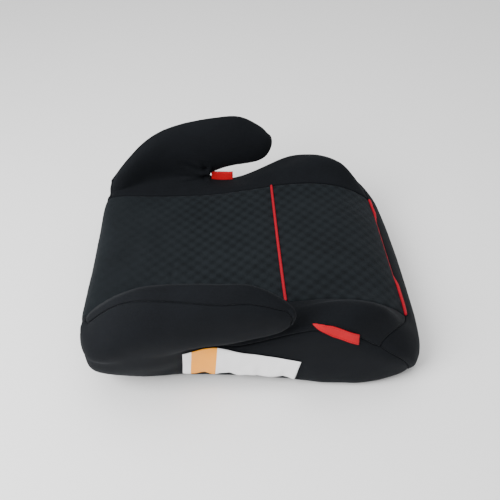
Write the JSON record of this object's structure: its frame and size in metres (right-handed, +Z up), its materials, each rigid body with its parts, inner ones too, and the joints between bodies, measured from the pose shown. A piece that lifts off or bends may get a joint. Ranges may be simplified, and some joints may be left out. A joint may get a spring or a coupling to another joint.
{
  "type": "booster seat",
  "caption": "Backless child booster seat with two curved armrests over belt slots, a fabric cover over foam on a ribbed plastic base, and red piping and tags.",
  "frame": {"origin": "centre of the footprint on the floor, under the middle of the seat", "axes": "+Z up, -Y toward the front edge where the child's knees are, +X toward the child's left"},
  "size_m": [0.4002, 0.4347, 0.1884],
  "materials": {
    "base_plastic": "black injection-moulded polypropylene, light grain",
    "screw_steel": "zinc-plated self-tapping screw",
    "foam_grey": "grey polyurethane foam pad",
    "centre_fabric": "slate-grey woven fabric embossed with small checks",
    "trim_fabric": "near-black plain knit fabric",
    "red_piping": "bright red covered cord piping",
    "red_tag": "bright red woven tape",
    "label_white": "white satin label, no text",
    "hem_black": "black binding tape and elastic cord"
  },
  "bodies": {
    "root": {"base_shell": "base_plastic", "armrest_core_left": "base_plastic", "armrest_core_right": "base_plastic", "armrest_screw_left_front": "screw_steel", "armrest_screw_left_rear": "screw_steel", "armrest_screw_right_front": "screw_steel", "armrest_screw_right_rear": "screw_steel", "seat_foam": "foam_grey", "bolster_foam_left": "foam_grey", "bolster_foam_right": "foam_grey", "cover_seat_rear": "centre_fabric", "cover_seat_front": "centre_fabric", "cover_front": "trim_fabric", "cover_back": "trim_fabric", "cover_bolster_left": "trim_fabric", "cover_bolster_right": "trim_fabric", "cover_side_left": "trim_fabric", "cover_side_right": "trim_fabric", "piping_seat": "red_piping", "piping_front": "red_piping", "belt_guide_left": "red_tag", "belt_guide_right": "red_tag", "side_tag": "red_tag", "instruction_label": "label_white", "hem_binding": "hem_black", "hem_elastic": "hem_black"}
  },
  "joints": []
}
